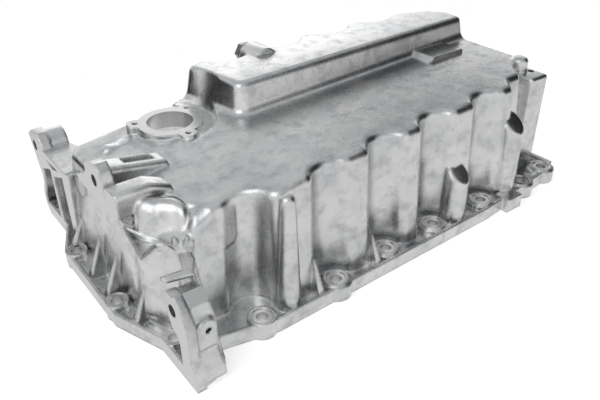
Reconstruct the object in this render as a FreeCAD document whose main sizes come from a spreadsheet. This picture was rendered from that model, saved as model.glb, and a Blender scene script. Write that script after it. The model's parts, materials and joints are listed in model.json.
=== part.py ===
import FreeCAD, Part
import math
import os

import Sketcher
from FreeCAD import Placement, Rotation, Vector

# Cast aluminium oil pan, upside down: the gasket face is at z = 0 and the deep end points up.
# x runs from the bell-housing face along the engine, y from the centre line, towards the back.
SIZES = {
    # walls: their outline at z = 0, how they lean in and how thick they are
    "wall": 4.5,
    "roof": 5.0,
    "draft": 5.0,
    "reach": 150.0,
    "end_wall": 0.5,
    "end_wall_front": 62.0,
    "end_wall_back": 62.0,
    "corner_x": 12.0,
    "corner_y": 86.0,
    "panel_x": 30.0,
    "panel_y": 92.5,
    "bay_near": 64.0,
    "bay_far": 72.0,
    "front_wall_near": 112.5,
    "front_wall_far_x": 347.0,
    "front_wall_far": 104.6,
    "far_bay_near": 358.0,
    "far_bay_far": 374.0,
    "far_bay": 91.5,
    "post_x": 387.0,
    "post_wall": 76.0,
    "knob_wall_x": 408.0,
    "knob_wall": 68.0,
    "far_wall": 415.0,
    "far_wall_front": 50.0,
    "far_wall_back": 45.0,
    "far_cut_x": 398.0,
    "far_cut": 66.0,
    "back_wall_far_x": 345.0,
    "back_wall": 86.0,
    "back_wall_near_x": 135.0,
    "back_step_x": 95.0,
    "back_step": 77.0,
    "back_near_x": 12.0,
    # two planes set back the corner beside the bell housing: a steep one, and one for its shoulder
    "corner_lean": 12.2,
    "shoulder_lean": 50.0,
    "shoulder_height": 74.0,
    "lean_turn": 19.0,
    "lean_x": 1.0,
    "lean_y": 62.0,
    "lean_half": 80.0,
    # shallow roof, which rises along the engine, and deep end
    "under": 20.0,
    "half_span": 160.0,
    "plateau_start": 30.0,
    "plateau_near": 81.5,
    "plateau_bend": 104.0,
    "plateau_bend_x": 118.0,
    "plateau_far": 112.5,
    "plateau_end": 450.0,
    "sump_x": 128.0,
    "sump_front_near": 3.0,
    "sump_front_far": 15.0,
    "sump_skew_x": 89.0,
    "sump_end": 480.0,
    "sump_span": 195.0,
    "sump_base": 94.0,
    "sump_draft": 10.0,
    "sump_start": 80.0,
    "sump_near": 129.0,
    "sump_far": 132.5,
    # roundings of the walls and roofs
    "corner_radius": 9.0,
    "rim_radius": 6.0,
    "root_radius": 7.5,
    "bend_radius": 150.0,
    # channels over the flange bolts, and the round pier beside the first one
    "channel_height": 150.0,
    "channel_radius": 16.5,
    "channel_spread": 3.5,
    "back_channel_spread": 14.0,
    "first_channel_x": 67.0,
    "first_channel_y": 101.0,
    "pier_x": 92.0,
    "pier_y": 109.5,
    "pier_radius": 10.0,
    "pier_top_radius": 5.5,
    "pier_height": 101.0,
    "pier_rounding": 5.0,
    # gasket flange
    "plate": 8.0,
    "rim_height": 12.0,
    "rim_width": 3.0,
    "end_overhang": 15.5,
    "end_half": 47.0,
    "front_root": 89.0,
    "foot_y": 137.0,
    "foot_x": 25.0,
    "foot_side": 131.0,
    "panel_edge_x": 31.0,
    "panel_edge": 113.0,
    "front_edge_near_x": 75.0,
    "front_edge_near": 122.5,
    "front_edge_far_x": 306.0,
    "front_edge_far": 117.0,
    "front_corner_x": 406.0,
    "front_corner": 106.5,
    "far_edge": 423.0,
    "far_edge_front": 99.0,
    "far_edge_back": 74.0,
    "back_corner_x": 400.0,
    "back_edge": 101.0,
    "back_root_x": 62.0,
    "back_near_edge": 128.0,
    "back_slant_x": 36.0,
    "back_root": 83.0,
    # bolt bosses on the flange
    "boss_radius": 10.5,
    "end_boss_radius": 8.5,
    "corner_boss_radius": 7.5,
    "boss_height": 13.5,
    "lobe_radius": 12.5,
    "bolt_hole": 4.5,
    "seat_radius": 8.0,
    "seat_depth": 0.8,
    "back_bolt_y": 91.0,
    "back_bolt_x": 44.0,
    "bolt_pitch": 58.0,
    # sensor seat in the shallow roof
    "sensor_x": 84.2,
    "sensor_y": 38.4,
    "sensor_bore": 18.5,
    "seat_ring": 26.0,
    "seat_top": 101.0,
    "seat_height": 14.0,
    "seat_screw_circle": 27.5,
    "seat_lug": 7.0,
    "seat_screw": 2.5,
    "seat_screw_depth": 12.0,
    "seat_first_angle": -87.0,
    "seat_rise": 2.5,
    "sculpt_low": 36.0,
    "sculpt_high": 46.0,
    "sculpt_height": 31.5,
    # drain boss and its plug
    "drain_x": 188.0,
    "drain_drop": 7.0,
    "drain_radius": 13.0,
    "drain_root": 52.0,
    "drain_face": 77.0,
    "drain_rounding": 2.0,
    "thread_radius": 7.0,
    "thread_length": 14.0,
    "washer_radius": 11.0,
    "washer": 1.5,
    "plug_head": 8.0,
    "plug_flat": 9.5,
    "plug_flange": 10.5,
    "plug_flange_height": 2.5,
    "thread_clearance": 0.1,
    # half-round bosses on the front wall
    "low_boss_x": 272.5,
    "low_boss_y": 103.7,
    "low_boss_radius": 11.3,
    "low_boss_height": 56.0,
    "high_boss_x": 345.0,
    "high_boss_y": 98.5,
    "high_boss_radius": 12.0,
    "high_boss_height": 79.5,
    "boss_slope": 41.0,
    "boss_spread": 1.0,
    "boss_head": 12.0,
    "boss_trim": 40.0,
    "boss_rounding": 3.5,
    # corner post and knob at the far end
    "post_centre_x": 401.5,
    "post_centre_y": 69.5,
    "post_half": 12.5,
    "post_height": 100.0,
    "post_rounding": 3.0,
    "post_hole_x": 407.0,
    "post_hole_y": 67.0,
    "post_hole": 3.0,
    "post_hole_depth": 18.0,
    "knob_x": 398.0,
    "knob_y": 59.0,
    "knob_radius": 8.0,
    "knob_spread": 2.0,
    "knob_base": 60.0,
    "knob_top": 113.5,
    "knob_rounding": 4.0,
    # long step beside the deep end
    "step_near": 312.0,
    "step_far": 372.0,
    "step_front": 12.0,
    "step_width": 26.0,
    "step_slope": 20.0,
    "step_base": 100.0,
    "step_top": 113.5,
    # tab on the flange's front edge
    "tab_x": 328.0,
    "tab_length": 19.0,
    "tab_y": 121.0,
    "tab_width": 15.0,
    "tab_height": 13.0,
    # bell-housing face: ears, ridges behind them and webs
    "ear": 10.0,
    "ear_hole": 4.5,
    "front_strap": 7.0,
    "front_body": 22.0,
    "front_web": 3.0,
    "front_ear_y": 113.5,
    "front_ear_z": 53.0,
    "recess_start": 5.0,
    "recess_web": 4.0,
    "lug_start": 7.5,
    "lug_length": 13.5,
    "lug_y": 131.0,
    "lug_depth": 6.0,
    "lug_base": 27.0,
    "lug_height": 22.0,
    "lug_hole": 2.3,
    "lug_hole_x": 15.0,
    "lug_hole_z": 41.0,
    "lug_hole_depth": 10.0,
    "top_ear_y": 10.5,
    "top_ear_z": 98.5,
    "hole_ridge_y": 15.0,
    "hole_ridge_width": 20.0,
    "side_ridge_y": 45.0,
    "side_ridge_width": 18.0,
    "ridge_rounding": 4.0,
    "ridge_pocket_x": 24.0,
    "ridge_pocket_y": 8.0,
    "ridge_pocket_length": 23.0,
    "ridge_pocket_width": 8.0,
    "ridge_pocket_floor": 95.0,
    "ridge_pocket_height": 30.0,
    "back_ear_y": 128.3,
    "back_ear_z": 68.7,
    "back_ear_radius": 12.5,
    "back_ear_body": 24.0,
    "back_body_shift": 4.0,
    "back_head": 9.0,
    "back_frame": 23.0,
    "back_pocket": 19.0,
    "back_rib": 6.0,
    "back_gusset": 5.0,
    "back_gusset_z": 66.0,
    "back_ridge_y": 36.0,
    "back_ridge_width": 12.0,
    "shelf_top": 70.0,
    "shelf": 3.0,
    # tapered gusset ribs on the flange
    "rib_half": 3.2,
    "rib_tip": 0.6,
    # spare length of a cutting tool past the face that it cuts
    "past": 1.0,
}

# places of single bolts: x along the engine, y from the centre line
BOLTS = {
    "front_1": (66.0, -113.5),
    "front_2": (134.4, -112.2),
    "front_3": (191.8, -105.9),
    "front_4": (248.1, -104.1),
    "front_5": (310.4, -103.8),
    "front_6": (366.3, -103.7),
    "front_7": (405.0, -99.0),
    "end_back": (-8.0, 41.0),
    "end_front": (-8.0, -36.0),
    "corner_front": (7.5, -95.0),
    "corner_back": (9.0, 114.0),
}
for name, (x, y) in BOLTS.items():
    SIZES[name + "_x"] = x
    SIZES[name + "_y"] = y

# gusset ribs: foot on the flange, direction towards the wall in degrees, length along it and top
GUSSETS = {
    "end_1": (-10.0, 49.0, 0.0, 14.0, 36.0),
    "end_2": (-12.0, 6.0, 0.0, 14.0, 42.0),
    "end_3": (-12.0, -23.5, 0.0, 14.0, 42.0),
    "end_4": (-8.0, -63.0, 10.0, 14.0, 36.0),
    "front_1": (116.0, -120.0, 90.0, 12.0, 37.0),
    "front_2": (175.0, -118.0, 90.0, 12.0, 33.0),
    "far": (396.5, -108.0, 108.0, 17.0, 14.0),
}
for name, sizes in GUSSETS.items():
    for part, size in zip(("x", "y", "turn", "length", "top"), sizes):
        SIZES[f"gusset_{name}_{part}"] = size

# corners of the ears, ridges and webs at the bell-housing end. Those of the ears' faces are y and z
# from the ear's hole, or from the centre line and the gasket face; the others are noted where they are used.
PROFILES = {
    "strap_foot": [(-137, 0), (-131, 20), (-130, 48)],
    "strap_head": [(-10.5, 5), (-2.5, 11.5), (5.5, 12), (14.1, 5.8), (10.5, 0), (7.5, -6), (3, -15)],
    "strap_inside": [(-117, 34), (-125, 24), (-129.5, 10), (-131, 0)],
    "body_foot": [(-131, 0), (-129, 24), (-128, 46)],
    "body_head": [(-8.5, 4), (0.5, 9), (11.5, 6), (14.5, 1), (5.5, -4), (4.5, -11)],
    "body_inside": [(-116, 38), (-119, 30), (-121, 0)],
    "thin_web": [(-130, 0), (-127, 16), (-120, 36), (-112, 46), (-99.5, 51), (-92, 60), (-84, 70), (-79, 78),
                 (-76, 78), (-76, 0)],
    "recessed_web": [(-134, 0), (-128, 20), (-118, 36), (-110, 38), (-110, 0)],
    "low_block": [(-137, 5), (-137, 13), (-129, 24), (-121, 24), (-121, 5)],
    "top_face": [(35.5, -14), (35.5, -10.5), (18.5, -5), (11.5, 9), (4.5, 12.5), (-3.5, 13.5), (-9.5, 9.5),
                 (-17.5, -11.5), (-22.5, -5.5), (-30.5, -2.5), (-34.5, -14.5), (-17.5, -20.5)],
    "hole_ridge": [(0, 84), (0, 106), (8, 106), (54, 98), (58, 84)],
    "side_ridge": [(0, 84), (0, 101), (4, 102), (26, 102), (41.5, 96), (44, 84)],
    "back_frame_side": [(58, 0), (128, 0), (134, 8), (134, 21), (127.5, 32), (126, 41), (133, 56), (110, 72),
                        (104, 66), (92, 61), (62, 70), (50, 74)],
    "back_pocket_side": [(66, 4), (126, 4), (130.5, 10), (130.5, 19), (124, 31), (120, 50), (100, 58), (88, 56),
                         (68, 64)],
    "back_rib_side": [(93.5, 58), (97.5, 58), (95, 3), (91, 3)],
    "back_head_side": [(12.7, 6.3), (2.7, 13.3), (-8.3, 13.3), (-16.3, 8.3), (-22.3, -2.7), (-10.3, -12.7),
                       (4.7, -11.7)],
    "back_gusset_plan": [(0, 60), (0, 120), (22, 116), (34, 78), (60, 66)],
    "back_ridge_side": [(4, 60), (4, 76), (30, 94), (44, 92), (44, 80)],
    "shelf_plan": [(6, -35), (0.5, -73), (15, -66), (20, -71), (22.5, -83), (16, -101), (1, -99), (3, -104),
                   (20, -108), (28, -96), (34, -60), (14, -34)],
}
for name, corners in PROFILES.items():
    for n, (first, second) in enumerate(corners, start=1):
        SIZES[f"{name}_{n}_across"] = first
        SIZES[f"{name}_{n}_up"] = second

doc = FreeCAD.newDocument("oil_pan")
sheet = doc.addObject("Spreadsheet::Sheet", "Sizes")
for row, (name, size) in enumerate(SIZES.items(), start=1):
    sheet.set(f"A{row}", name)
    sheet.set(f"B{row}", str(size))
    sheet.setAlias(f"B{row}", name)
doc.recompute()

UP = Vector(0, 0, 1)
BACK = Vector(0, 1, 0)
ALONG = Vector(1, 0, 0)
FACING_FRONT = Rotation(Vector(1, 0, 0), 90)
FACING_END = Rotation(Vector(1, 1, 1), 120)


def terms(spec):
    """The parts of a sum: named sizes with a sign, such as 'far_edge -wall', and plain numbers."""
    for term in str(spec).split():
        sign = -1 if term[0] == "-" else 1
        yield sign, term.lstrip("-")


def total(spec):
    return sum(sign * (SIZES[t] if t in SIZES else float(t)) for sign, t in terms(spec))


def formula(spec):
    """The same sum as an expression on the sheet."""
    return "".join(("-" if s < 0 else "+") + (f"Sizes.{t}" if t in SIZES else t) for s, t in terms(spec))


def bind(obj, **specs):
    for prop, spec in specs.items():
        obj.setExpression(prop, formula(spec))
    return obj


def place(obj, x=0, y=0, z=0, turn=Rotation()):
    """Puts an object at x, y and z, each a sum of sizes."""
    obj.Placement = Placement(Vector(total(x), total(y), total(z)), turn)
    for axis, spec in (("x", x), ("y", y), ("z", z)):
        if spec:
            obj.setExpression("Placement.Base." + axis, formula(spec))
    return obj


def outline(label, corners, turn=Rotation(), x=0, y=0, z=0):
    """A closed sketch through corners; each coordinate is a sum of sizes."""
    sketch = place(doc.addObject("Sketcher::SketchObject", label), x, y, z, turn)
    points = [Vector(total(a), total(b), 0) for a, b in corners]
    count = len(points)
    for i in range(count):
        sketch.addGeometry(Part.LineSegment(points[i], points[(i + 1) % count]), False)
    for i in range(count):
        sketch.addConstraint(Sketcher.Constraint("Coincident", i, 2, (i + 1) % count, 1))
    for i, corner in enumerate(corners):
        for kind, spec in zip(("DistanceX", "DistanceY"), corner):
            k = sketch.addConstraint(Sketcher.Constraint(kind, -1, 1, i, 1, total(spec)))
            sketch.setExpression(f"Constraints[{k}]", formula(spec))
    return sketch


def prism(label, base, length, direction=UP, both=False):
    block = doc.addObject("Part::Extrusion", label)
    block.Base = base
    block.DirMode = "Custom"
    block.Dir = direction
    block.Solid = True
    block.Symmetric = both
    return bind(block, LengthFwd=length)


def profile(name, across="", up=""):
    """The corners of a named profile, from the point given by two sums of sizes."""
    return [(f"{name}_{n}_across {across}", f"{name}_{n}_up {up}") for n in range(1, len(PROFILES[name]) + 1)]


def inward(label, base, by):
    """The outline moved in by a size."""
    inner = doc.addObject("Part::Offset2D", label)
    inner.Source = base
    inner.Join = 2
    return bind(inner, Value="-" + by)


def cylinder(label, radius, height, x=0, y=0, z=0, turn=Rotation()):
    return place(bind(doc.addObject("Part::Cylinder", label), Radius=radius, Height=height), x, y, z, turn)


def cone(label, low, high, height, x=0, y=0, z=0, turn=Rotation()):
    shape = bind(doc.addObject("Part::Cone", label), Radius1=low, Radius2=high, Height=height)
    return place(shape, x, y, z, turn)


def box(label, length, width, height, x=0, y=0, z=0):
    return place(bind(doc.addObject("Part::Box", label), Length=length, Width=width, Height=height), x, y, z)


def fused(label, shapes):
    union = doc.addObject("Part::MultiFuse", label)
    union.Shapes = shapes
    return union


def cut(label, base, *tools):
    hole = doc.addObject("Part::Cut", label)
    hole.Base = base
    hole.Tool = tools[0] if len(tools) == 1 else fused(label + "_tools", list(tools))
    return hole


def common(label, base, tool):
    shared = doc.addObject("Part::Common", label)
    shared.Base = base
    shared.Tool = tool
    return shared


def leaning(label, base, angle):
    """The prism with every side leaning in by an angle, about its lower face."""
    doc.recompute()
    body = doc.addObject("PartDesign::Body", label)
    body.BaseFeature = base
    doc.recompute()
    straight = body.Group[0]
    lean = body.newObject("PartDesign::Draft", label + "_draft")
    sides = []
    bottom = []
    for n, face in enumerate(straight.Shape.Faces, start=1):
        rise = face.normalAt(0, 0).z
        if abs(rise) < 0.5:
            sides.append(f"Face{n}")
        elif rise < 0:
            bottom.append(f"Face{n}")
    lean.Base = (straight, sides)
    lean.NeutralPlane = (straight, bottom)
    return bind(lean, Angle=angle) and body


def bend(shape, edge):
    """Angle in degrees between the faces beside an edge, positive where the edge is convex."""
    faces = shape.ancestorsOfType(edge, Part.Face)
    if len(faces) < 2:
        return 0.0
    middle = (edge.FirstParameter + edge.LastParameter) / 2
    point = edge.valueAt(middle)
    normals = [f.normalAt(*f.Surface.parameter(point)) for f in faces]
    angle = math.degrees(normals[0].getAngle(normals[1]))
    if angle < 1:
        return 0.0
    across = normals[0].cross(edge.tangentAt(middle)).normalize() * 0.2
    for step in (across, -across):
        if faces[0].distToShape(Part.Vertex(point + step))[0] < 0.05:
            return angle if step.dot(normals[1]) < 0 else -angle
    return angle


def upright(edge):
    if len(edge.Vertexes) != 2:
        return False
    a, b = (v.Point for v in edge.Vertexes)
    return abs(a.z - b.z) > 0.8 * (a - b).Length


def rounded(label, base, radius, chosen):
    """The shape with a rounding on each edge that chosen(shape, edge) picks."""
    doc.recompute()
    fillet = doc.addObject("Part::Fillet", label)
    fillet.Base = base
    size = total(radius)
    shape = base.Shape
    fillet.Edges = [(n, size, size) for n, e in enumerate(shape.Edges, start=1) if chosen(shape, e)]
    doc.recompute()
    return fillet


WALL = [
    ("end_wall", "end_wall_back"), ("end_wall", "-end_wall_front"), ("corner_x", "-corner_y"),
    ("panel_x", "-panel_y"), ("bay_near", "-panel_y"), ("bay_far", "-front_wall_near"),
    ("front_wall_far_x", "-front_wall_far"), ("far_bay_near", "-far_bay"), ("far_bay_far", "-far_bay"),
    ("post_x", "-post_wall"), ("knob_wall_x", "-knob_wall"), ("far_wall", "-far_wall_front"),
    ("far_wall", "far_wall_back"), ("far_cut_x", "far_cut"), ("back_wall_far_x", "back_wall"),
    ("back_wall_near_x", "back_wall"), ("back_step_x", "back_step"), ("back_near_x", "back_step"),
]
BACK_BOLTS = 7
CHANNELS = [("first_channel_x", "-first_channel_y")]
CHANNELS += [(f"front_{n}_x", f"front_{n}_y") for n in (2, 3, 4, 5)]


def back_bolt(n):
    return " ".join(["back_bolt_x"] + ["bolt_pitch"] * n), "back_bolt_y"


CHANNELS += [back_bolt(n) for n in (2, 3, 4, 5)]


def roofs(label, drop):
    """The space under the shallow roof and the deep end, as one block wider than the casting."""
    low = f" -{drop}" if drop else ""
    width = "half_span half_span"
    plateau = prism(label + "_plateau_block", outline(label + "_plateau_side", [
        ("-plateau_start", "-under"), ("-plateau_start", "plateau_near" + low),
        ("plateau_bend_x", "plateau_bend" + low), ("plateau_end", "plateau_far" + low),
        ("plateau_end", "-under")], FACING_FRONT), width, BACK, both=True)
    plateau = rounded(label + "_plateau", plateau, "bend_radius", is_roof_bend)
    plan = outline(label + "_sump_plan", [
        ("sump_x", "sump_front_near"), ("sump_end", "sump_front_far"), ("sump_end", "sump_span"),
        ("sump_skew_x", "sump_span")], z="sump_base")
    if drop:
        plan = inward(label + "_sump_inner", plan, "wall")
    sump = leaning(label + "_sump_walls", prism(label + "_sump_block", plan, "reach -sump_base"), "sump_draft")
    top = prism(label + "_sump_top", outline(label + "_sump_side", [
        ("sump_start", "-under"), ("sump_start", "sump_near" + low), ("plateau_end", "sump_far" + low),
        ("plateau_end", "-under")], FACING_FRONT), width, BACK, both=True)
    if not drop:
        sump = rounded(label + "_sump_corner", sump, "corner_radius", is_sump_corner)
    deep = common(label + "_deep", sump, top)
    if not drop:
        deep = rounded(label + "_deep_rounded", deep, "rim_radius", is_deep_edge)
    both = fused(label + "_roofs_sharp", [plateau, deep])
    if drop:
        return both
    return rounded(label + "_roofs", both, "root_radius", lambda s, e: bend(s, e) < -20)


def is_roof_bend(shape, edge):
    return edge.BoundBox.ZMin > SIZES["plateau_near"] and 0.5 < bend(shape, edge) < 20


def is_sump_corner(shape, edge):
    centre = edge.BoundBox.Center
    return upright(edge) and centre.x < SIZES["sump_end"] / 2 and centre.y < SIZES["half_span"] / 2


def is_deep_edge(shape, edge):
    """An edge of the deep end's roof, along its front or its left side."""
    area = edge.BoundBox
    if area.YMin > SIZES["half_span"] - 1 or area.XMin > SIZES["plateau_end"] - 10:
        return False
    return area.ZMin > SIZES["plateau_far"] and bend(shape, edge) > 20 and not upright(edge)


def is_wall_corner(shape, edge):
    return edge.BoundBox.ZMin < 1 and upright(edge) and abs(bend(shape, edge)) > 14


def is_rim(shape, edge):
    return edge.Length > 0.05 and edge.BoundBox.ZMin > 60 and bend(shape, edge) > 30


def corner_planes(label, extra):
    """Blocks whose leaning faces set back the corner beside the bell housing, low and at the shoulder."""
    tools = []
    for name, lean, foot in (("low", "corner_lean", "0"), ("shoulder", "shoulder_lean", "shoulder_height")):
        plan = outline(f"{label}_{name}_plane", [("-lean_half", "-lean_half"), ("0", "-lean_half"),
                                                 ("0", "lean_half"), ("-lean_half", "lean_half")])
        tool = prism(f"{label}_{name}_block", plan, "reach reach", both=True)
        place(tool, 0, "-lean_y", foot, Rotation(UP, SIZES["lean_turn"]) * Rotation(BACK, SIZES[lean]))
        lift = f"({formula(foot)}) * tan(Sizes.corner_lean * 1 deg) + ({formula('0' + extra)})"
        tool.setExpression("Placement.Base.x", f"Sizes.lean_x + ({lift}) / cos(Sizes.lean_turn * 1 deg)")
        tools.append(tool)
    return tools


def form(label, plan, extra, drop):
    """The wall prism with its channels, under the roofs."""
    walls = leaning(label + "_walls", prism(label + "_block", plan, "reach"), "draft")
    tools = []
    for n, (x, y) in enumerate(CHANNELS):
        front = total(y) < 0
        spread = " channel_spread" if front else " back_channel_spread"
        tools.append(cone(f"{label}_channel_{n}", "channel_radius" + extra, "channel_radius" + spread + extra,
                          "channel_height", x, y, 0, Rotation(UP, -90 if front else 90)))
    channelled = cut(label + "_channelled", walls, *tools)
    return cut(label + "_form", common(label + "_blank", channelled, roofs(label, drop)),
               *corner_planes(label, extra))


def sculpt(label, extra="", drop=""):
    """The round space above the sensor seat, cut into the shallow roof and the deep end's corner."""
    return cone(label, "sculpt_low" + extra, "sculpt_high" + extra, "sculpt_height" + extra, "sensor_x",
                "sensor_y", "seat_top -seat_rise" + drop)


def bowl():
    """The outside of the walls and roofs, and the space inside them."""
    plan = outline("wall_plan", WALL)
    outer = form("outer", plan, "", "")
    outer = rounded("outer_corners", outer, "corner_radius", is_wall_corner)
    outer = rounded("outer_rim", outer, "rim_radius", is_rim)
    inner = cut("inner", form("inside", inward("wall_inner", plan, "wall"), " wall", "roof"),
                sculpt("inner_sculpt", " wall", " -roof"))
    pier = cone("pier_block", "pier_radius", "pier_top_radius", "pier_height", "pier_x", "-pier_y")
    pier = rounded("pier", pier, "pier_rounding", lambda s, e: e.BoundBox.ZMin > total("pier_height") - 1)
    return cut("bowl", fused("outer_with_pier", [outer, pier]), sculpt("outer_sculpt")), inner


FLANGE = [
    ("-end_overhang", "-end_half"), ("0", "-front_root"), ("0", "-foot_y"), ("foot_x", "-foot_side"),
    ("panel_edge_x", "-panel_edge"), ("front_edge_near_x", "-front_edge_near"),
    ("front_edge_far_x", "-front_edge_far"), ("front_corner_x", "-front_corner"),
    ("far_edge", "-far_edge_front"), ("far_edge", "far_edge_back"), ("back_corner_x", "back_edge"),
    ("back_root_x", "back_edge"), ("back_slant_x", "back_near_edge"), ("0", "back_near_edge"),
    ("0", "back_root"), ("-end_overhang", "end_half"),
]


def all_bolts():
    single = [(name, name + "_x", name + "_y") for name in BOLTS]
    return single + [(f"back_{n}", *back_bolt(n)) for n in range(BACK_BOLTS)]


def flange():
    """Plate, raised edge and bolt bosses of the gasket flange, and the holes for its bolts."""
    plan = outline("flange_plan", FLANGE)
    lobes = [cylinder(name + "_lobe", "lobe_radius", "rim_height", x, y)
             for name, x, y in all_bolts() if name.startswith(("front_2", "front_3", "front_4", "front_5",
                                                               "front_6", "front_7", "back_"))]
    edge = cut("flange_edge", prism("flange_edge_block", plan, "rim_height"),
               place(prism("flange_trough", inward("flange_inner", plan, "rim_width"), "rim_height"), z="plate"))
    radii = {"end": "end_boss_radius", "corner": "corner_boss_radius"}
    bosses = [box("edge_tab", "tab_length", "tab_width", "tab_height", "tab_x", "-tab_y")]
    holes = []
    for name, x, y in all_bolts():
        radius = radii.get(name.split("_")[0], "boss_radius")
        bosses.append(cylinder(name + "_boss", radius, "boss_height", x, y))
        holes.append(cylinder(name + "_hole", "bolt_hole", "boss_height past past", x, y, "-past"))
        holes.append(cylinder(name + "_seat", "seat_radius", "seat_depth", x, y, "boss_height -seat_depth"))
    return [edge, *lobes, *bosses], holes


def plate(label, corners, thickness, x=0):
    """A plate parallel to the bell-housing face, from its outline in y and z."""
    return prism(label, outline(label + "_outline", corners, FACING_END, x=x), thickness, ALONG)


def slab(label, corners, thickness, z):
    """A level plate, from its outline in x and y."""
    return prism(label, outline(label + "_outline", corners, z=z), thickness)


def upright_plate(label, corners, thickness, y):
    """A plate parallel to the long sides, from its outline in x and z, that runs back from y."""
    return prism(label, outline(label + "_outline", corners, FACING_FRONT, y=y), thickness, BACK)


def along_axis(label, radius, length, y, z, x=0):
    """A cylinder along the engine."""
    return cylinder(label, radius, length, x, y, z, Rotation(BACK, 90))


def front_ear():
    """Ear at the front corner: a strap up from the flange's foot, the thicker body behind it, and their webs."""
    hole = ("-front_ear_y", "front_ear_z")
    solids = [
        plate("front_ear_strap", profile("strap_foot") + profile("strap_head", *hole) + profile("strap_inside"),
              "front_strap"),
        plate("front_ear_body", profile("body_foot") + profile("body_head", *hole) + profile("body_inside"),
              "front_body"),
        plate("front_ear_web", profile("thin_web"), "front_web", "front_body"),
        plate("front_ear_recessed_web", profile("recessed_web"), "recess_web", "recess_start"),
        plate("front_ear_block", profile("low_block"), "front_body"),
    ]
    lug = box("front_ear_lug", "lug_length", "lug_depth", "lug_height", "lug_start", "-lug_y", "lug_base")
    solids.append(rounded("front_ear_lug_rounded", lug, "lug_depth -past",
                          lambda s, e: e.BoundBox.ZMin > total("lug_base") + 1 and e.BoundBox.YLength > 1))
    through = along_axis("front_ear_hole", "ear_hole", "front_body front_web past past", *hole, "-past")
    small = cylinder("front_ear_lug_hole", "lug_hole", "lug_hole_depth past", "lug_hole_x", "-lug_y -past",
                     "lug_hole_z", Rotation(ALONG, -90))
    return solids, [through, small]


def is_ridge_edge(shape, edge):
    """A long edge on top of a ridge behind an ear, clear of the mating face."""
    area = edge.BoundBox
    return area.ZMin > SIZES["plateau_near"] + 10 and area.XMax > 2 and area.YLength < 1


def top_ear():
    """Ear on top of the end wall, and the two ridges behind it on the shallow roof."""
    face = plate("top_ear_face", profile("top_face", "-top_ear_y", "top_ear_z"), "ear")
    ridges = []
    for name in ("hole_ridge", "side_ridge"):
        ridge = upright_plate(name, profile(name), name + "_width", f"-{name}_y")
        ridges.append(rounded(name + "_rounded", ridge, "ridge_rounding", is_ridge_edge))
    pocket = box("ridge_pocket", "ridge_pocket_length", "ridge_pocket_width", "ridge_pocket_height",
                 "ridge_pocket_x", "-ridge_pocket_y", "ridge_pocket_floor")
    hole = along_axis("top_ear_hole", "ear_hole", "ear past", "-top_ear_y", "top_ear_z", "-past")
    return [face, *ridges], [pocket, hole]


def back_ear():
    """Ear at the back corner: an eye on a round body, over a framed pocket with an upright rib."""
    frame = plate("back_ear_frame", profile("back_frame_side"), "back_frame")
    pocket = plate("back_ear_pocket", profile("back_pocket_side"), "back_pocket past", "-past")
    framed = cut("back_ear_framed", frame, pocket)
    rib = plate("back_ear_rib", profile("back_rib_side"), "back_rib")
    head = plate("back_ear_head", profile("back_head_side", "back_ear_y", "back_ear_z"), "back_head")
    body = along_axis("back_ear_barrel", "back_ear_radius", "back_ear_body", "back_ear_y -back_body_shift",
                      "back_ear_z")
    gusset = slab("back_ear_gusset", profile("back_gusset_plan"), "back_gusset", "back_gusset_z")
    ridge = upright_plate("back_ear_ridge", profile("back_ridge_side"), "back_ridge_width", "back_ridge_y")
    ridge = rounded("back_ear_ridge_rounded", ridge, "ridge_rounding",
                    lambda s, e: e.BoundBox.ZMin > 75 and e.BoundBox.ZMax > 85)
    hole = along_axis("back_ear_hole", "ear_hole", "back_ear_body past past", "back_ear_y", "back_ear_z", "-past")
    return [framed, rib, head, body, gusset, ridge], [hole]


def corner_shelf():
    """Level shelf round the corner column, with its arched edge."""
    return slab("corner_shelf", profile("shelf_plan"), "shelf", "shelf_top -shelf")


def gussets():
    """Thin ribs that stand on the flange against the walls and taper upwards."""
    ribs = []
    for name in GUSSETS:
        key = "gusset_" + name
        length = key + "_length"
        rib = bind(doc.addObject("Part::Wedge", key), Xmin="-rib_half", Xmax="rib_half", Ymin="0",
                   Ymax=key + "_top -plate", Zmin="0", Zmax=length, X2min="-rib_tip", X2max="rib_tip",
                   Z2min=length + " -rib_tip", Z2max=length)
        turn = Rotation(UP, SIZES[key + "_turn"] + 90) * FACING_FRONT
        ribs.append(place(rib, key + "_x", key + "_y", "plate", turn))
    return ribs


def sensor_seat():
    """Round seat with three screw lugs; its bore is open to the inside."""
    z = "seat_top -seat_height"
    at = ("sensor_x", "sensor_y")
    solids = [cylinder("seat_ring", "seat_ring", "seat_height", *at, z)]
    collar = [cylinder("seat_collar", "sensor_bore roof", "seat_height", *at, z)]
    tools = [cylinder("seat_bore", "sensor_bore", "seat_height roof past", *at, z + " -roof")]
    for n in range(3):
        angle = math.radians(SIZES["seat_first_angle"] + 120 * n)
        for kind, radius, height, low in (("lug", "seat_lug", "seat_height", z),
                                          ("screw", "seat_screw", "seat_screw_depth", "seat_top -seat_screw_depth")):
            c = cylinder(f"seat_{kind}_{n}", radius, height, 0, 0, low)
            turn = f"Sizes.seat_first_angle + {120 * n}"
            c.setExpression("Placement.Base.x", f"Sizes.sensor_x + Sizes.seat_screw_circle * cos(({turn}) * 1 deg)")
            c.setExpression("Placement.Base.y", f"Sizes.sensor_y + Sizes.seat_screw_circle * sin(({turn}) * 1 deg)")
            (collar if kind == "lug" else tools).append(c)
    return solids, tools, collar


def drain():
    """Boss on the back of the deep end, with its threaded hole."""
    to_back = Rotation(ALONG, -90)
    at = ("drain_x", "drain_root", "sump_near -drain_drop")
    boss = cylinder("drain_boss", "drain_radius", "drain_face -drain_root", *at, to_back)
    boss = rounded("drain_boss_rounded", boss, "drain_rounding",
                   lambda s, e: e.BoundBox.YMin > total("drain_face") - 1)
    return [boss], [cylinder("drain_thread", "thread_radius", "drain_face -drain_root past", *at, to_back)]


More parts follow.
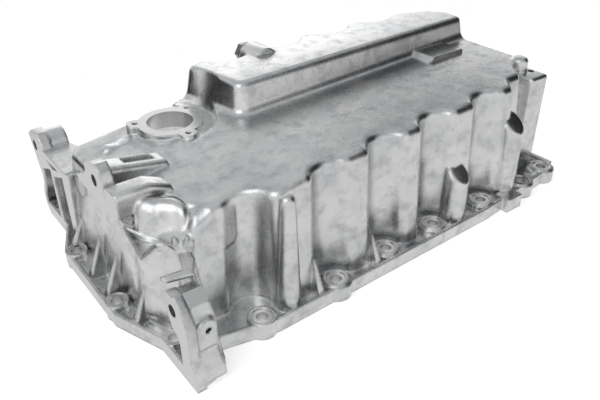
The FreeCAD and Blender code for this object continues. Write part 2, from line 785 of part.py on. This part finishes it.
def wall_bosses():
    """Half-round bosses on the front wall, with sloping tops, and the post, knob and step at the far end."""
    solids = []
    for name in ("low_boss", "high_boss"):
        x, y = name + "_x", f"-{name}_y"
        block = cone(name + "_block", name + "_radius", name + "_radius -boss_spread", name + "_height boss_head",
                     x, y)
        trim = prism(name + "_trim", outline(name + "_trim_plan", [
            ("-boss_trim", "-boss_trim"), ("boss_trim", "-boss_trim"), ("boss_trim", "boss_trim"),
            ("-boss_trim", "boss_trim")]), "boss_trim")
        place(trim, x, y, name + "_height", Rotation(ALONG, SIZES["boss_slope"]))
        solids.append(rounded(name, cut(name + "_sloped", block, trim), "boss_rounding",
                              lambda s, e: e.BoundBox.ZMin > total("plate") and e.BoundBox.YLength > 5))
    post = box("post_block", "post_half post_half", "post_half post_half", "post_height",
               "post_centre_x -post_half", "-post_centre_y -post_half")
    post = rounded("post", post, "post_rounding", lambda s, e: e.BoundBox.ZMax > 50)
    hole = cylinder("post_hole", "post_hole", "post_hole_depth past", "post_hole_x", "-post_hole_y",
                    "post_height -post_hole_depth")
    knob = cone("knob_block", "knob_radius knob_spread", "knob_radius", "knob_top -knob_base", "knob_x", "-knob_y",
                "knob_base")
    knob = rounded("knob", knob, "knob_rounding", lambda s, e: e.BoundBox.ZMin > 100)
    step = upright_plate("roof_step", [
        ("step_near", "step_base"), ("step_near step_slope", "step_top"), ("step_far", "step_top"),
        ("step_far", "step_base")], "step_width", "-step_front")
    return solids + [post, knob, step], [hole]


def drain_fittings():
    """Screw plug with a six-sided head, and the ring under it."""
    to_back = Rotation(ALONG, -90)
    ring = cut("washer_ring", cylinder("washer_disc", "washer_radius", "washer", turn=to_back),
               cylinder("washer_bore", "thread_radius", "washer", turn=to_back))
    place(ring, "drain_x", "drain_face", "sump_near -drain_drop")
    shank = cylinder("plug_shank", "thread_radius -thread_clearance", "thread_length washer",
                     0, "-thread_length -washer", 0, to_back)
    collar = cylinder("plug_collar", "plug_flange", "plug_flange_height", turn=to_back)
    prism6 = bind(doc.addObject("Part::Prism", "plug_hexagon"), Circumradius="plug_flat", Height="plug_head")
    prism6.Polygon = 6
    place(prism6, 0, "plug_flange_height", 0, to_back)
    plug = fused("plug", [shank, collar, prism6])
    place(plug, "drain_x", "drain_face washer", "sump_near -drain_drop")
    return plug, ring


def casting():
    """The one-piece casting: the bowl, its flange and everything that stands on them, less the holes."""
    outside, inside = bowl()
    solids, tools = flange()
    seat = sensor_seat()
    for made in (front_ear(), top_ear(), back_ear(), seat, drain(), wall_bosses()):
        solids += made[0]
        tools += made[1]
    solids += [corner_shelf(), *gussets()]
    whole = fused("whole", [outside, *solids])
    hollow = fused("hollow", [cut("shell", whole, inside), *seat[2]])
    return cut("casting", hollow, *tools)


def kept(obj, label):
    obj.Label = label
    return obj


PIECES = [kept(casting(), "pan_casting")]
PIECES += [kept(piece, label) for piece, label in zip(drain_fittings(), ("drain_plug", "sealing_washer"))]
doc.recompute()

for obj in doc.Objects:
    if {"Invalid", "Error"} & set(obj.State):
        raise RuntimeError(f"{obj.Name} failed: {obj.State}")
for piece in PIECES:
    if piece.Shape.isNull() or not piece.Shape.isValid() or len(piece.Shape.Solids) != 1:
        raise RuntimeError(f"{piece.Label} is not one valid solid")

os.makedirs("parts", exist_ok=True)
for piece in PIECES:
    piece.Shape.exportStep(f"parts/{piece.Label}.step")
    print(piece.Label, round(piece.Shape.Volume), piece.Shape.BoundBox)
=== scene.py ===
import json
import math

import bmesh
import bpy
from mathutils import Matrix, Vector


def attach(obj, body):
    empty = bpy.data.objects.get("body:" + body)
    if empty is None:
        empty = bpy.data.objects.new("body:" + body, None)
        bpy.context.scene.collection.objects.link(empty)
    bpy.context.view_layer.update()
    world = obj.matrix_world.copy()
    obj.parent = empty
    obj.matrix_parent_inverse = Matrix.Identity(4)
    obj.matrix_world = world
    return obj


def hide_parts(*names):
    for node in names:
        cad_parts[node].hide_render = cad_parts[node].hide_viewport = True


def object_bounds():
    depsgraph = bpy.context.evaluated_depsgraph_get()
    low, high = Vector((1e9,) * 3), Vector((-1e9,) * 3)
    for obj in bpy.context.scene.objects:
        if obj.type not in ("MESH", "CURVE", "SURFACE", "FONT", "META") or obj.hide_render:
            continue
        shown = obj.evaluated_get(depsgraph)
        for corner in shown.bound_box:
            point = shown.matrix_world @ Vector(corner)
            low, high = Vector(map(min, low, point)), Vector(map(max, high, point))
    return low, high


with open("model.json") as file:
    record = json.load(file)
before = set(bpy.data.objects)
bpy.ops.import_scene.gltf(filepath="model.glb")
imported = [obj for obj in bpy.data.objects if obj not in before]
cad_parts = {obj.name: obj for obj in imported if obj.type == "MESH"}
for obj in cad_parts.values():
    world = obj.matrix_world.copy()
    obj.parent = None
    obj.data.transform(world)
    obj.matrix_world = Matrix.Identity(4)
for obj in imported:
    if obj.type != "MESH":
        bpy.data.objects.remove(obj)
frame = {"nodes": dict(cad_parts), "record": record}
cad_low, cad_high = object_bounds()
mounts = frame["record"]["mounts"]

MM = 0.001

# Camera, found from the photograph: where it stands, in the part's frame, and how it looks.
CAMERA_AT = Vector((-126.7, -411.3, 330.0)) * MM
CAMERA_HEADING = math.radians(52.8)
CAMERA_DOWN = math.radians(32.0)
SENSOR_WIDTH = 36.0
LENS = 40.08
CLIP_START = 0.01

# Colours, as sRGB hex values.
DIE_CAST_ALUMINIUM = "#dadad9"
CAST_SHADE = "#c9cacb"
CAST_SMUDGE = "#808187"
MILLED_ALUMINIUM = "#cfcfce"
ZINC_PLATE = "#9b9890"
SOFT_ALUMINIUM = "#b9babb"
STUDIO_FLOOR = "#f2f2f2"
STUDIO_WHITE = "#ffffff"
HORIZON = "#fbfbfb"
OVERHEAD = "#cdcfd1"
DARK_PANEL = "#252628"
GREY_CURTAIN = "#929395"

# Patterns of the cast skin: name, blob size in mm, detail, and how far it is drawn out upwards.
CAST_PATTERNS = [
    ("cloud", 30.0, 4.0, 1.0),
    ("smudge", 11.0, 8.0, 1.0),
    ("streak", 1.8, 3.0, 16.0),
    ("pits", 1.1, 3.0, 1.0),
    ("grain", 0.5, 2.0, 1.0),
]
NOISE_ROUGHNESS = 0.6

# Where the cloud and smudge patterns begin and are full, and how far a smudge covers the skin.
CLOUD_RANGE = (0.35, 0.62)
SMUDGE_RANGE = (0.48, 0.78)
SMUDGE_MOST = 0.55

# Roughness of the cast skin where it is smoothest, and what each pattern adds to it.
CAST_ROUGHNESS = 0.14
CLOUD_ROUGHNESS = 0.14
STREAK_ROUGHNESS = 0.08
SMUDGE_ROUGHNESS = 0.16

# Relief of the cast skin: each pattern's share beside the grain's, the strength, and the height in mm.
PIT_SHARE = 0.5
SMUDGE_SHARE = 2.2
STREAK_SHARE = 0.5
CAST_BUMP = 0.2
CAST_RELIEF = 0.3

# Soft edges, drawn by the material: how wide they are in mm, and from how many samples.
EDGE_ROUNDING = 3.2
EDGE_SAMPLES = 6

# Worked metals: colour, roughness, and how wide the marks on them are in mm.
MILLED = (MILLED_ALUMINIUM, 0.3, 0.6)
PLATED = (ZINC_PLATE, 0.34, 1.2)
SOFT_RING = (SOFT_ALUMINIUM, 0.4, 0.8)

# How the marks show: their detail, how much the roughness varies, the strength, and the height in mm.
MARK_DETAIL = 3.0
MARK_ROUGHNESS = 0.16
MARK_BUMP = 0.12
MARK_RELIEF = 0.2

# How far a cut seat reaches past its hole and past the hole's end, in mm.
SEAT_MARGIN = 3.6
SEAT_SLACK = 1.0

# How near a face is to a joint plane, in mm, and how squarely it faces along the engine, to be cut.
FACE_TOLERANCE = 0.01
FACING = 0.99

# Points closer than this, in mm, are joined. An edge that turns by more than the angle stays sharp.
WELD_DISTANCE = 0.002
SHARP_ANGLE = math.radians(32.0)

# The corner beside the bell housing, softer than in the CAD model, in millimetres: for the round
# column and for the start of the near wall, a line of points along the foot and one along the rim,
# chosen with readings of the photograph as a guide. The other rows are worked out.
COLUMN_FOOT = [
    (3, -50, 10), (0.5, -58, 10), (0, -64.5, 10), (3.5, -69.5, 10), (9, -73.5, 10),
    (12.5, -79, 10), (18, -83, 10), (22, -88, 10), (28, -88, 10),
]
COLUMN_RIM = [
    (16, -34, 90), (14, -43, 94), (18, -48, 95), (21.5, -51.5, 95), (26, -53.5, 94.5),
    (29, -57.5, 95), (33.5, -61.5, 95), (36, -70, 94), (38, -70, 91),
]
BAY_FOOT = [
    (29, -78, 60), (30, -86.8, 60), (35, -86.9, 60), (44, -86.9, 60), (54, -86.9, 60),
    (66, -86.2, 60),
]
BAY_RIM = [
    (37, -71, 88), (38, -77.5, 91), (42, -78, 92.2), (48, -78, 93.2), (57, -78, 94.6),
    (70, -77, 95.5),
]

# How a rim is rounded: how far each row lies inwards of the rim line, and how far above it.
RIM_SECTION = [(-7.0, -7.0), (0.0, 0.0), (8.0, -1.0), (16.0, -9.0)]

# Rows of the wall, as shares of its height, and the direction from the near corner into the roof.
WALL_STEPS = (0.0, 0.45, 0.82)
INWARDS = Vector((0.5, 0.866, 0.0))

# From the front of a sheet to its back, in mm, and how often its skin is divided.
SHEET_DEPTH = Vector((3.0, 2.5, -1.5))
SKIN_LEVELS = 2

# Thin cast ribs on that corner: the arch round the shelf, its upper line, and the two webs down to
# the ear. Their points were traced on the photograph, worked out on the walls, and rounded.
RIB_RADIUS = 1.3
RIB_RESOLUTION = 2
RIB_ORDER = 3
RIBS = [
    [(7, -56, 57), (14, -62, 64), (20, -69, 66.5), (24.5, -76, 62), (24.5, -80.5, 53), (22.5, -82, 43)],
    [(5, -45, 76), (12, -56, 71), (18, -65, 68.5), (25, -76, 64.5)],
    [(30, -84, 80.5), (27, -83, 72), (28, -86, 57), (30, -89, 43), (33, -92.5, 30)],
    [(32, -86, 77), (30, -85.5, 70), (30.5, -88, 54), (33, -92, 36), (36, -97, 15.5)],
]

# The floor's corners and how far it lies under the pan, in mm.
FLOOR_FROM = (-420.0, -950.0)
FLOOR_TO = (1000.0, 300.0)
FLOOR_GAP = 0.2

# How much the floor's own white adds to its lit colour where the camera sees it.
FLOOR_GLOW = 0.5

# Dark parts of the studio that the metal mirrors: azimuth, elevation, where each is full and
# where it begins, in degrees from its middle, and its colour.
SHADES = [
    (24.0, 22.0, 14.0, 30.0, GREY_CURTAIN),
    (-24.0, 24.0, 22.0, 38.0, DARK_PANEL),
    (134.0, -6.0, 20.0, 34.0, DARK_PANEL),
]

# Height, as the sine of the elevation, at which the surroundings begin to turn grey and are grey.
GREY_BEGINS = 0.3
GREY_FULL = 0.7

# Soft lamps: name, place and size in metres, and power in watts.
SOFTBOXES = [
    ("softbox_left", (-0.75, -0.35, 1.15), (1.1, 0.9), 4.5),
    ("softbox_back", (1.12, 1.16, 0.52), (1.9, 0.45), 2.2),
]


def linear(hex_colour):
    """An sRGB hex colour as linear RGBA."""
    out = []
    for k in (1, 3, 5):
        c = int(hex_colour[k:k + 2], 16) / 255
        out.append(c / 12.92 if c <= 0.04045 else ((c + 0.055) / 1.055) ** 2.4)
    return (*out, 1.0)


def add(tree, kind, links=(), **settings):
    """Adds a node. Settings are its properties; links are (input, value or output socket)."""
    node = tree.nodes.new(kind)
    for name, value in settings.items():
        setattr(node, name, value)
    for socket, value in links:
        if isinstance(value, bpy.types.NodeSocket):
            tree.links.new(value, node.inputs[socket])
        else:
            node.inputs[socket].default_value = value
    return node


def new_material(name):
    """A material without nodes, and its node tree."""
    material = bpy.data.materials.new(name)
    material.use_nodes = True
    material.node_tree.nodes.clear()
    return material, material.node_tree


def patterns(tree, sizes):
    """Noise fields on the object: name, blob size in mm, detail, and how far drawn out upwards."""
    place = add(tree, "ShaderNodeTexCoord").outputs["Object"]
    fields = {}
    for name, size_mm, detail, drawn in sizes:
        squeezed = add(tree, "ShaderNodeMapping", [
            ("Vector", place), ("Scale", (1.0, 1.0, 1.0 / drawn))])
        fields[name] = add(tree, "ShaderNodeTexNoise", [
            ("Vector", squeezed.outputs[0]), ("Scale", 1.0 / (size_mm * MM)), ("Detail", detail),
            ("Roughness", NOISE_ROUGHNESS)]).outputs["Fac"]
    return fields


def die_cast_aluminium():
    """Bare die casting: a tight satin skin with cloudy flow marks, small pits and draw streaks."""
    material, tree = new_material("die_cast_aluminium")
    field = patterns(tree, CAST_PATTERNS)
    cloudy = add(tree, "ShaderNodeMapRange", [
        ("Value", field["cloud"]), ("From Min", CLOUD_RANGE[0]), ("From Max", CLOUD_RANGE[1])])
    stained = add(tree, "ShaderNodeMapRange", [
        ("Value", field["smudge"]), ("From Min", SMUDGE_RANGE[0]), ("From Max", SMUDGE_RANGE[1]),
        ("To Max", SMUDGE_MOST)])
    skin = add(tree, "ShaderNodeMix", [
        (0, cloudy.outputs[0]), (6, linear(CAST_SHADE)), (7, linear(DIE_CAST_ALUMINIUM))],
        data_type="RGBA")
    skin = add(tree, "ShaderNodeMix", [
        (0, stained.outputs[0]), (6, skin.outputs[2]), (7, linear(CAST_SMUDGE))],
        data_type="RGBA")
    dull = CAST_ROUGHNESS
    for value, more in ((field["cloud"], CLOUD_ROUGHNESS), (field["streak"], STREAK_ROUGHNESS),
                        (stained.outputs[0], SMUDGE_ROUGHNESS)):
        dull = add(tree, "ShaderNodeMath", [(0, value), (1, more), (2, dull)],
                   operation="MULTIPLY_ADD").outputs[0]
    height = field["grain"]
    for name, share in (("pits", PIT_SHARE), ("smudge", SMUDGE_SHARE), ("streak", STREAK_SHARE)):
        height = add(tree, "ShaderNodeMath", [(0, field[name]), (1, share), (2, height)],
                     operation="MULTIPLY_ADD").outputs[0]
    soft_edge = add(tree, "ShaderNodeBevel", [("Radius", EDGE_ROUNDING * MM)], samples=EDGE_SAMPLES)
    bump = add(tree, "ShaderNodeBump", [
        ("Strength", CAST_BUMP), ("Distance", CAST_RELIEF * MM), ("Height", height),
        ("Normal", soft_edge.outputs[0])])
    surface = add(tree, "ShaderNodeBsdfPrincipled", [
        ("Base Color", skin.outputs[2]), ("Metallic", 1.0), ("Roughness", dull),
        ("Normal", bump.outputs[0])])
    add(tree, "ShaderNodeOutputMaterial", [("Surface", surface.outputs[0])])
    return material


def worked_metal(name, colour, roughness, mark_mm):
    """A milled, turned or plated metal: an even sheen, with faint marks mark_mm wide."""
    material, tree = new_material(name)
    marks = patterns(tree, [("marks", mark_mm, MARK_DETAIL, 1.0)])["marks"]
    dull = add(tree, "ShaderNodeMath", [
        (0, marks), (1, MARK_ROUGHNESS), (2, roughness - MARK_ROUGHNESS / 2)],
        operation="MULTIPLY_ADD")
    bump = add(tree, "ShaderNodeBump", [
        ("Strength", MARK_BUMP), ("Distance", MARK_RELIEF * MM), ("Height", marks)])
    surface = add(tree, "ShaderNodeBsdfPrincipled", [
        ("Base Color", linear(colour)), ("Metallic", 1.0), ("Roughness", dull.outputs[0]),
        ("Normal", bump.outputs[0])])
    add(tree, "ShaderNodeOutputMaterial", [("Surface", surface.outputs[0])])
    return material


def studio_floor():
    """Pale floor that reads white to the camera, with the shadow kept, and plain in the metal."""
    material, tree = new_material("studio_floor")
    ray = add(tree, "ShaderNodeLightPath").outputs
    glow = add(tree, "ShaderNodeMath", [(0, ray["Is Camera Ray"]), (1, FLOOR_GLOW)],
               operation="MULTIPLY")
    surface = add(tree, "ShaderNodeBsdfDiffuse", [("Color", linear(STUDIO_FLOOR))])
    light = add(tree, "ShaderNodeEmission", [
        ("Color", linear(STUDIO_WHITE)), ("Strength", glow.outputs[0])])
    seen = add(tree, "ShaderNodeAddShader", [(0, surface.outputs[0]), (1, light.outputs[0])])
    mirrored = add(tree, "ShaderNodeEmission", [("Color", linear(STUDIO_FLOOR)), ("Strength", 1.0)])
    both = add(tree, "ShaderNodeMixShader", [
        (0, ray["Is Glossy Ray"]), (1, seen.outputs[0]), (2, mirrored.outputs[0])])
    add(tree, "ShaderNodeOutputMaterial", [("Surface", both.outputs[0])])
    return material


def is_milled(centre, normal):
    """Whether a face of the casting is cut flat: the two joint faces, and the seats at the holes."""
    tolerance = FACE_TOLERANCE * MM
    if centre.z < tolerance or (normal.x < -FACING and centre.x < tolerance):
        return True
    for mount in mounts:
        size = mount["dims"]
        reach = size.get("r_mm", size.get("pcd_mm", 0.0) / 2) + SEAT_MARGIN
        depth = size.get("length_mm", 0.0) / 2 + SEAT_SLACK
        axis = Vector(mount["axis"])
        away = centre - Vector(mount["pos_m"])
        along = abs(away.dot(axis))
        across = (away - axis * away.dot(axis)).length
        if size and across < reach * MM and along < depth * MM:
            return True
    return False


def evaluated(data, soften=False):
    """The finished mesh of some object data, with a soft skin where that is asked for."""
    obj = bpy.data.objects.new("form", data)
    bpy.context.scene.collection.objects.link(obj)
    if soften:
        soft = obj.modifiers.new("soft", "SUBSURF")
        soft.levels = SKIN_LEVELS
        soft.render_levels = SKIN_LEVELS
    mesh = bpy.data.meshes.new_from_object(
        obj.evaluated_get(bpy.context.evaluated_depsgraph_get()))
    bpy.data.objects.remove(obj)
    return mesh


def rows_over(foot, rim):
    """Rows of points from a foot line up a wall, over its round rim and down into the roof."""
    foot, rim = ([Vector(point) for point in line] for line in (foot, rim))
    section = []
    for inwards, up in RIM_SECTION:
        section.append([point + INWARDS * inwards + Vector((0, 0, up)) for point in rim])
    wall = []
    for step in WALL_STEPS:
        wall.append([low.lerp(high, step) for low, high in zip(foot, section[0])])
    return wall + section


def sheet(rows):
    """A thick soft patch through rows of points. Its back stands a little out of the inner wall."""
    count = len(rows[0])
    front = [point for row in rows for point in row]
    points = [point * MM for point in front] + [(point + SHEET_DEPTH) * MM for point in front]
    faces = []
    for r in range(len(rows) - 1):
        for k in range(count - 1):
            a = r * count + k
            quad = (a, a + 1, a + count + 1, a + count)
            faces += [quad, tuple(len(front) + i for i in reversed(quad))]
    rim = list(range(count)) + [r * count + count - 1 for r in range(1, len(rows))]
    rim += [(len(rows) - 1) * count + k for k in range(count - 2, -1, -1)]
    rim += [r * count for r in range(len(rows) - 2, 0, -1)]
    for a, b in zip(rim, rim[1:] + rim[:1]):
        faces.append((b, a, len(front) + a, len(front) + b))
    mesh = bpy.data.meshes.new("sheet")
    mesh.from_pydata(points, [], faces)
    return evaluated(mesh, soften=True)


def rib(points):
    """A round rib through points, closed at its ends."""
    curve = bpy.data.curves.new("rib", "CURVE")
    curve.dimensions = "3D"
    curve.bevel_depth = RIB_RADIUS * MM
    curve.bevel_resolution = RIB_RESOLUTION
    curve.use_fill_caps = True
    line = curve.splines.new("NURBS")
    line.points.add(len(points) - 1)
    for place, point in zip(line.points, points):
        place.co = (*(Vector(point) * MM), 1.0)
    line.use_endpoint_u = True
    line.order_u = RIB_ORDER
    return evaluated(curve)


def merged_copy(node, name, extra=()):
    """A copy of a CAD node's mesh, with extra meshes beside it, smooth but for its real edges."""
    mesh = frame["nodes"][node].data.copy()
    mesh.name = name
    bm = bmesh.new()
    bm.from_mesh(mesh)
    known = len(bm.faces)
    for form in extra:
        bm.from_mesh(form)
    bm.faces.ensure_lookup_table()
    bmesh.ops.recalc_face_normals(bm, faces=bm.faces[known:])
    bmesh.ops.remove_doubles(bm, verts=bm.verts, dist=WELD_DISTANCE * MM)
    for face in bm.faces:
        face.smooth = True
    for edge in bm.edges:
        edge.smooth = not (len(edge.link_faces) == 2 and edge.calc_face_angle(0.0) > SHARP_ANGLE)
    bm.to_mesh(mesh)
    bm.free()
    if mesh.has_custom_normals:
        mesh.normals_split_custom_set([(0.0, 0.0, 0.0)] * len(mesh.loops))
    obj = bpy.data.objects.new(name, mesh)
    bpy.context.scene.collection.objects.link(obj)
    return obj


def dress(node, name, slot, *materials, extra=()):
    """Replaces a CAD node by a finished copy of it."""
    obj = merged_copy(node, name, extra)
    obj.data.materials.clear()
    for material in materials:
        obj.data.materials.append(material)
    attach(obj, "root")
    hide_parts(node)
    return obj


def pan():
    """The casting, with its cut faces in a plainer metal."""
    extra = [sheet(rows_over(COLUMN_FOOT, COLUMN_RIM)), sheet(rows_over(BAY_FOOT, BAY_RIM))]
    extra += [rib(points) for points in RIBS]
    casting = dress("pan_casting", "pan_casting_finished", "cast_aluminium", die_cast_aluminium(),
                    worked_metal("milled_aluminium", *MILLED), extra=extra)
    for face in casting.data.polygons:
        if is_milled(face.center, face.normal):
            face.material_index = 1


def fittings():
    """Drain plug and the ring under it."""
    dress("drain_plug", "drain_plug_finished", "steel", worked_metal("zinc_plated_steel", *PLATED))
    dress("sealing_washer", "sealing_washer_finished", "copper_ring",
          worked_metal("soft_aluminium", *SOFT_RING))


def make_stage():
    """The floor, just under the pan."""
    (x0, y0), (x1, y1) = FLOOR_FROM, FLOOR_TO
    corners = ((x0, y0), (x1, y0), (x1, y1), (x0, y1))
    mesh = bpy.data.meshes.new("studio_floor")
    mesh.from_pydata([Vector((x, y, 0)) * MM for x, y in corners], [], [(0, 1, 2, 3)])
    mesh.materials.append(studio_floor())
    floor = bpy.data.objects.new("studio_floor", mesh)
    floor.location.z = cad_low[2] - FLOOR_GAP * MM
    bpy.context.scene.collection.objects.link(floor)


def softbox(name, at, size, power):
    """A soft lamp that looks at the middle of the pan."""
    lamp = bpy.data.lights.new(name, "AREA")
    lamp.shape = "RECTANGLE"
    lamp.size, lamp.size_y = size
    lamp.energy = power
    obj = bpy.data.objects.new(name, lamp)
    obj.location = at
    middle = (Vector(cad_low) + Vector(cad_high)) / 2
    obj.rotation_euler = (middle - obj.location).to_track_quat("-Z", "Y").to_euler()
    bpy.context.scene.collection.objects.link(obj)


def make_world():
    """Studio surroundings: white low down, greyer overhead, with dark parts, white to the camera."""
    world = bpy.data.worlds.new("studio")
    bpy.context.scene.world = world
    world.use_nodes = True
    tree = world.node_tree
    tree.nodes.clear()
    direction = add(tree, "ShaderNodeTexCoord").outputs["Generated"]
    height = add(tree, "ShaderNodeSeparateXYZ", [(0, direction)]).outputs["Z"]
    rise = add(tree, "ShaderNodeMapRange", [
        ("Value", height), ("From Min", GREY_BEGINS), ("From Max", GREY_FULL)],
        interpolation_type="SMOOTHSTEP")
    sky = add(tree, "ShaderNodeMix", [
        (0, rise.outputs[0]), (6, linear(HORIZON)), (7, linear(OVERHEAD))], data_type="RGBA")
    for azimuth, elevation, full, begins, colour in SHADES:
        turn = math.radians(azimuth)
        tilt = math.radians(elevation)
        middle = (math.cos(tilt) * math.cos(turn), math.cos(tilt) * math.sin(turn), math.sin(tilt))
        near = add(tree, "ShaderNodeVectorMath", [(0, direction), (1, middle)],
                   operation="DOT_PRODUCT")
        shade = add(tree, "ShaderNodeMapRange", [
            ("Value", near.outputs["Value"]), ("From Min", math.cos(math.radians(begins))),
            ("From Max", math.cos(math.radians(full)))], interpolation_type="SMOOTHSTEP")
        sky = add(tree, "ShaderNodeMix", [
            (0, shade.outputs[0]), (6, sky.outputs[2]), (7, linear(colour))], data_type="RGBA")
    ray = add(tree, "ShaderNodeLightPath").outputs["Is Camera Ray"]
    around = add(tree, "ShaderNodeBackground", [("Color", sky.outputs[2]), ("Strength", 1.0)])
    seen = add(tree, "ShaderNodeBackground", [("Color", linear(STUDIO_WHITE)), ("Strength", 1.0)])
    mixed = add(tree, "ShaderNodeMixShader", [(0, ray), (1, around.outputs[0]), (2, seen.outputs[0])])
    add(tree, "ShaderNodeOutputWorld", [("Surface", mixed.outputs[0])])


def make_camera():
    """The photograph's camera."""
    camera = bpy.data.cameras.new("camera")
    camera.sensor_width = SENSOR_WIDTH
    camera.lens = LENS
    camera.clip_start = CLIP_START
    obj = bpy.data.objects.new("camera", camera)
    level = math.cos(CAMERA_DOWN)
    look = Vector((level * math.cos(CAMERA_HEADING), level * math.sin(CAMERA_HEADING),
                   -math.sin(CAMERA_DOWN)))
    obj.location = CAMERA_AT
    obj.rotation_euler = look.to_track_quat("-Z", "Y").to_euler()
    bpy.context.scene.collection.objects.link(obj)
    bpy.context.scene.camera = obj


pan()
fittings()
make_stage()
make_world()
for box in SOFTBOXES:
    softbox(*box)
make_camera()
bpy.context.scene.view_settings.view_transform = "Standard"
